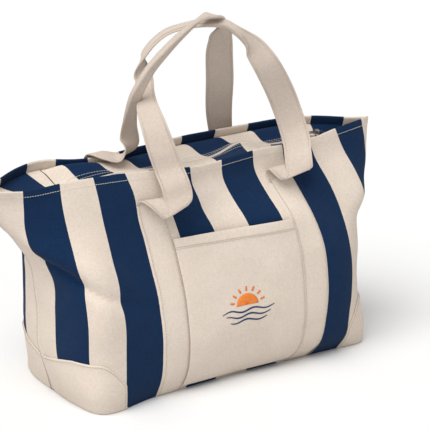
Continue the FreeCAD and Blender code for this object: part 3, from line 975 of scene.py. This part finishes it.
def closure_end(hand):
    """The fixed end of the closure, in one piece from the front rim to the back rim."""
    sign = -1 if hand == "left" else 1
    us = sign * np.linspace(FLAP_U + 0.03, 5.75, 12)
    shares = np.linspace(0, 1, 14)
    front = closure_points("front", us, shares)
    back = closure_points("back", us, shares)[::-1]
    points = np.concatenate([front, back])
    uv = np.stack([np.broadcast_to((us + STRIPES / 2) * STRIPE * 10, points.shape[:2]),
                   np.broadcast_to(points[:, :, 1] * 10, points.shape[:2])], axis=-1)
    faces = grid_faces(points.shape[0], len(us), flip=sign < 0)
    piece = mesh_object("closure_cloth_" + hand, points, faces, uv,
                        STRIPED)
    thicken(piece, 1.2 * MM, offset=-1)
    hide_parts("closure_end_" + hand)
    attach(piece, "bag")


def zip_half(side):
    """One woven tape and its coil of teeth."""
    toward = -1 if side == "front" else 1
    x = np.linspace(-FLAP_HALF, FLAP_HALF, 160)
    middle = zip_line(x)
    offsets = np.array([0.5, 1.2, 2.4, 4.0, 6.5]) * MM * toward
    drops = np.array([-0.2, -0.2, -0.5, -1.6, -2.2]) * MM
    table = np.stack([middle + np.array([0, o, d]) for o, d in zip(offsets, drops)])
    uv = np.stack([np.broadcast_to(x * 10, table.shape[:2]),
                   np.broadcast_to(offsets[:, None] * 10, table.shape[:2])], axis=-1)
    faces = grid_faces(len(offsets), len(x), flip=side == "front")
    tape = mesh_object("tape_" + side, table, faces, uv, TAPE)
    thicken(tape, 0.6 * MM, offset=-1)
    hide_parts("zip_tape_" + side)
    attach(tape, side + "_closure")
    pitch = 1.7 * MM
    runs = []
    shift = 0 if side == "front" else pitch / 2
    for at in np.arange(-FLAP_HALF + pitch + shift, FLAP_HALF - pitch, pitch):
        line = zip_line(np.array([at, at])) + np.array([[0, toward * 0.25 * MM, 0.15 * MM],
                                                        [0, toward * 1.1 * MM, 0.15 * MM]])
        runs.append((line, np.array([[0, 0, 1.0], [0, 0, 1.0]])))
    coil = stitches("coil_" + side, runs, COIL, step=0.85 * MM, radius=0.4 * MM, share=1.0)
    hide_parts("zip_teeth_" + side)
    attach(coil, side + "_closure")


# ---------------------------------------------------------------- CAD pieces that stay

def finish_metal():
    """The slider, its pull and the stops keep their CAD shape and get the plated finish."""
    for name in ("zip_slider", "zip_pull", "zip_stop_left", "zip_stop_right"):
        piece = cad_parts[name]
        for material_slot in piece.material_slots:
            material_slot.material = METAL


# ---------------------------------------------------------------- build

for side in ("front", "back"):
    panel(side)
    hem_band(side)
base()
rim_stitching()
side_seams()
base_seam()
patch_runs, strap_runs = [], []
for side in ("front", "back"):
    for hand in ("left", "right"):
        patch_runs.append(corner_patch(side, hand))
        strap_runs += sewn_strap(side, hand)
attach(stitches("patch_stitching", patch_runs, TAN_THREAD), "bag")
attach(stitches("strap_stitching", strap_runs, TAN_THREAD), "bag")
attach(stitches("pocket_stitching", pocket(), TAN_THREAD), "bag")
pocket_print()
handle("front", FRONT_HANDLE)
handle("back", BACK_HANDLE)
for side in ("front", "back"):
    closure(side)
    zip_half(side)
for hand in ("left", "right"):
    closure_end(hand)
finish_metal()


# ---------------------------------------------------------------- studio

def studio():
    bpy.ops.mesh.primitive_plane_add(size=14, location=(0, 0, 0))
    floor = bpy.context.object
    floor.name = "floor"
    paper, tree, shader = new_material("paper")
    place = tree.nodes.new("ShaderNodeTexCoord").outputs["Object"]
    tone = noise_map(tree, place, 3, 2)
    pale = mix(tree, tone, (0.71, 0.71, 0.71, 1), (0.73, 0.73, 0.73, 1))
    tree.links.new(pale, shader.inputs["Base Color"])
    shader.inputs["Roughness"].default_value = 0.9
    floor.data.materials.append(paper)

    world = bpy.data.worlds.new("studio")
    bpy.context.scene.world = world
    world.use_nodes = True
    background = world.node_tree.nodes["Background"]
    background.inputs["Color"].default_value = (1.0, 1.0, 1.0, 1)
    background.inputs["Strength"].default_value = 0.54

    def lamp(name, place, aim, size, power, colour):
        data = bpy.data.lights.new(name, "AREA")
        data.size, data.energy, data.color = size, power, colour
        lamp_object = bpy.data.objects.new(name, data)
        bpy.context.scene.collection.objects.link(lamp_object)
        lamp_object.location = place
        lamp_object.rotation_euler = (Vector(aim) - Vector(place)).to_track_quat("-Z", "Y").to_euler()

    lamp("front_fill", (-1.2, -2.4, 1.0), (0, 0, 0.15), 1.6, 3, (1.0, 0.98, 0.96))
    sun = bpy.data.lights.new("sun", "SUN")
    lamp("side_fill", (2.4, -1.6, 0.9), (0, 0, 0.15), 1.4, 3, (1.0, 0.99, 0.97))
    sun.energy, sun.angle, sun.color = 3.1, 0.9, (1.0, 0.995, 0.985)
    sun_object = bpy.data.objects.new("sun", sun)
    bpy.context.scene.collection.objects.link(sun_object)
    sun_object.rotation_euler = Vector((0.5, 0.2, -1)).to_track_quat("-Z", "Y").to_euler()


def camera():
    """A long lens from the front left, a little above the bag."""
    turn, rise, reach = math.radians(33.855), math.radians(19.466), 2.8
    away = Vector((math.sin(turn) * math.cos(rise), math.cos(turn) * math.cos(rise), -math.sin(rise)))
    data = bpy.data.cameras.new("camera")
    eye = bpy.data.objects.new("camera", data)
    bpy.context.scene.collection.objects.link(eye)
    eye.location = Vector((0, 0, 0.2)) - away * reach
    eye.rotation_euler = away.to_track_quat("-Z", "Y").to_euler()
    data.sensor_width = 36
    data.lens = 195.07
    data.shift_x, data.shift_y = 0.0495, -0.0363
    data.clip_end = 40
    bpy.context.scene.camera = eye


studio()
camera()
bpy.context.scene.view_settings.view_transform = "Standard"
